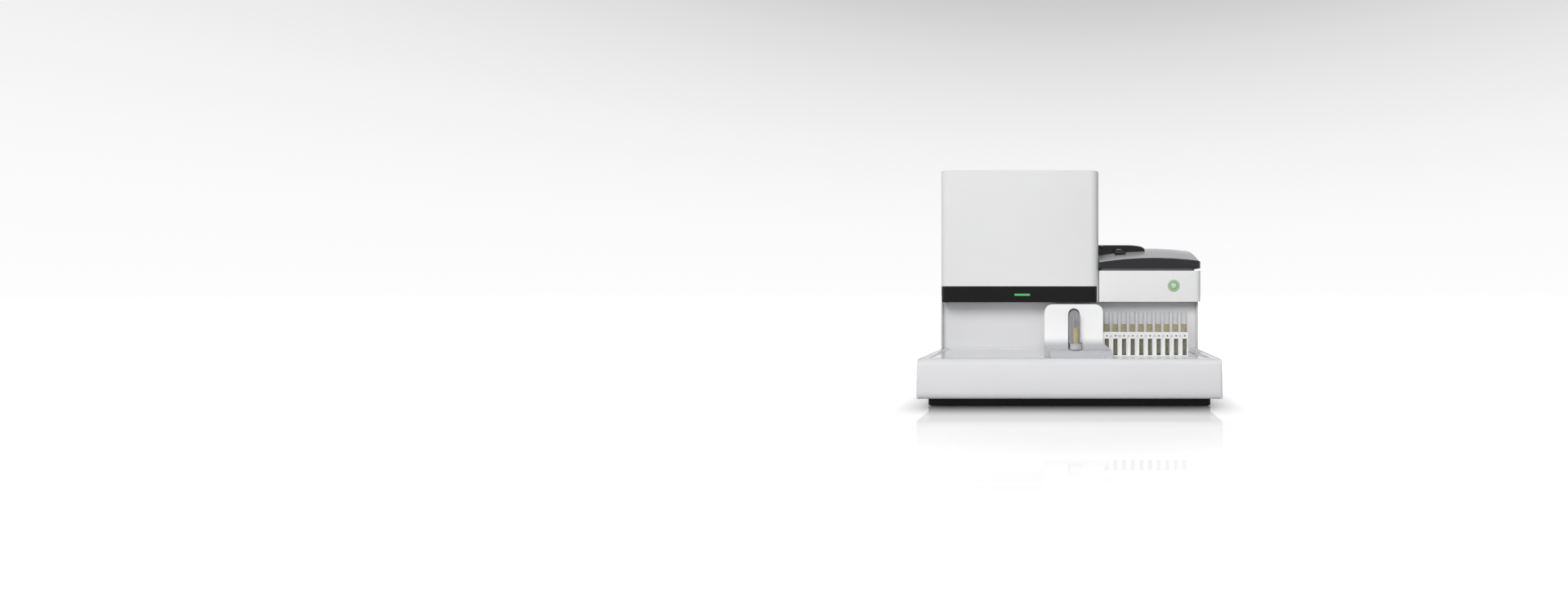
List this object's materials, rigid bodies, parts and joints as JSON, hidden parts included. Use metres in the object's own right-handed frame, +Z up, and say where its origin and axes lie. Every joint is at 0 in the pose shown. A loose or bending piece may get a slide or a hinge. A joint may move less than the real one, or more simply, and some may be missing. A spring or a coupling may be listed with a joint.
{
  "type": "urine analyzer",
  "caption": "Benchtop urine analyzer with a hinged tower cover, a strip module with a domed lid and hopper, a single-tube station and a rack of sample tubes.",
  "frame": {"origin": "centre of the footprint, on the surface that the feet stand on", "axes": "+X to the user's right, +Y to the rear, +Z up"},
  "size_m": [0.67, 0.62, 0.565],
  "materials": {
    "white_shell": "satin moulded white",
    "grey_shell": "satin moulded grey",
    "black_plastic": "semi-gloss black",
    "dark_grey_plastic": "matte dark grey",
    "rack_white": "matte moulded white",
    "rubber": "matte black",
    "green_light": "lit green lens",
    "button_grey": "satin light grey",
    "clear_plastic": "clear",
    "steel": "ground steel",
    "sheet_metal": "zinc-plated sheet",
    "aluminium": "satin anodised"
  },
  "bodies": {
    "housing": {"base_plinth": "black_plastic", "foot_front_left": "rubber", "foot_front_right": "rubber", "foot_rear_left": "rubber", "foot_rear_right": "rubber", "base_deck": "white_shell", "pusher_rail": "steel", "lower_housing": "white_shell", "back_panel": "white_shell", "fan_frame": "black_plastic", "power_inlet": "black_plastic", "fluid_manifold": "dark_grey_plastic", "tower_shell": "white_shell", "cover_hinge_pin": "steel", "tower_floor": "sheet_metal", "chassis_plate": "sheet_metal", "probe_rail": "steel", "syringe_pump": "dark_grey_plastic", "syringe_barrel": "clear_plastic", "optical_bench": "aluminium", "camera_module": "dark_grey_plastic", "module_cover": "white_shell", "button_bezel": "white_shell", "button_light_ring": "green_light", "lid_hinge_pin": "steel", "drum_cradle": "sheet_metal", "photometer_head": "dark_grey_plastic", "stat_housing": "white_shell", "sample_rack": "rack_white", "tube_01": "clear_plastic", "tube_02": "clear_plastic", "tube_03": "clear_plastic", "tube_04": "clear_plastic", "tube_05": "clear_plastic", "tube_06": "clear_plastic", "tube_07": "clear_plastic", "tube_08": "clear_plastic", "tube_09": "clear_plastic", "tube_10": "clear_plastic"},
    "cover": {"front_cover": "white_shell", "trim_band": "black_plastic", "status_light": "green_light"},
    "lid": {"lid_shell": "grey_shell", "lid_band": "black_plastic", "hopper_frame": "black_plastic", "hopper_hinge_pin": "steel", "latch_pin": "steel"},
    "hopper_door": {"hopper_cover": "black_plastic"},
    "latch": {"hopper_latch": "black_plastic"},
    "button": {"power_button": "button_grey"},
    "tube_carriage": {"stat_carriage": "clear_plastic", "stat_tube": "clear_plastic"},
    "probe_slide": {"probe_carriage": "aluminium"},
    "probe": {"probe_arm": "dark_grey_plastic", "sample_probe": "steel"},
    "plunger": {"syringe_plunger": "steel"},
    "drum": {"strip_drum": "dark_grey_plastic"},
    "pusher": {"rack_pusher": "grey_shell"},
    "rocker": {"mains_rocker": "black_plastic"},
    "rotor": {"fan_rotor": "black_plastic"}
  },
  "joints": [
    {"name": "front_cover_hinge", "type": "hinge", "parent": "housing", "child": "cover", "pos_m": [-0.12625, -0.01, 0.5615], "axis": [-1, 0, 0], "range_deg": [0, 75]},
    {"name": "lid_hinge", "type": "hinge", "parent": "housing", "child": "lid", "pos_m": [0.2065, 0.2805, 0.3206], "axis": [-1, 0, 0], "range_deg": [0, 65]},
    {"name": "hopper_cover_hinge", "type": "hinge", "parent": "lid", "child": "hopper_door", "pos_m": [0.0878, -0.0125, 0.38], "axis": [0, -0.9978, -0.0665], "range_deg": [0, 80]},
    {"name": "hopper_latch_pivot", "type": "hinge", "parent": "lid", "child": "latch", "pos_m": [0.1324, -0.0173, 0.3688], "axis": [-1, 0, 0], "range_deg": [0, 60]},
    {"name": "power_button_slide", "type": "slide", "parent": "housing", "child": "button", "axis": [0, 1, 0], "range_m": [0, 0.002], "stiffness_N_per_m": 300, "springref_m": -0.001},
    {"name": "tube_carriage_slide", "type": "slide", "parent": "housing", "child": "tube_carriage", "axis": [0, 1, 0], "range_m": [0, 0.178]},
    {"name": "probe_lift", "type": "slide", "parent": "housing", "child": "probe_slide", "axis": [0, 0, -1], "range_m": [0, 0.1]},
    {"name": "probe_traverse", "type": "slide", "parent": "probe_slide", "child": "probe", "axis": [0, 1, 0], "range_m": [0, 0.023]},
    {"name": "syringe_plunger_slide", "type": "slide", "parent": "housing", "child": "plunger", "axis": [0, 0, -1], "range_m": [0, 0.03]},
    {"name": "strip_drum_spin", "type": "hinge", "parent": "housing", "child": "drum", "pos_m": [0.137, 0.04, 0.276], "axis": [1, 0, 0], "continuous": true},
    {"name": "rack_pusher_slide", "type": "slide", "parent": "housing", "child": "pusher", "axis": [0, 1, 0], "range_m": [0, 0.115]},
    {"name": "mains_rocker_pivot", "type": "hinge", "parent": "housing", "child": "rocker", "pos_m": [0.235, 0.2985, 0.1745], "axis": [-1, 0, 0], "range_deg": [0, 20]},
    {"name": "fan_rotor_spin", "type": "hinge", "parent": "housing", "child": "rotor", "pos_m": [-0.19, 0.2892, 0.172], "axis": [0, 1, 0], "continuous": true}
  ]
}
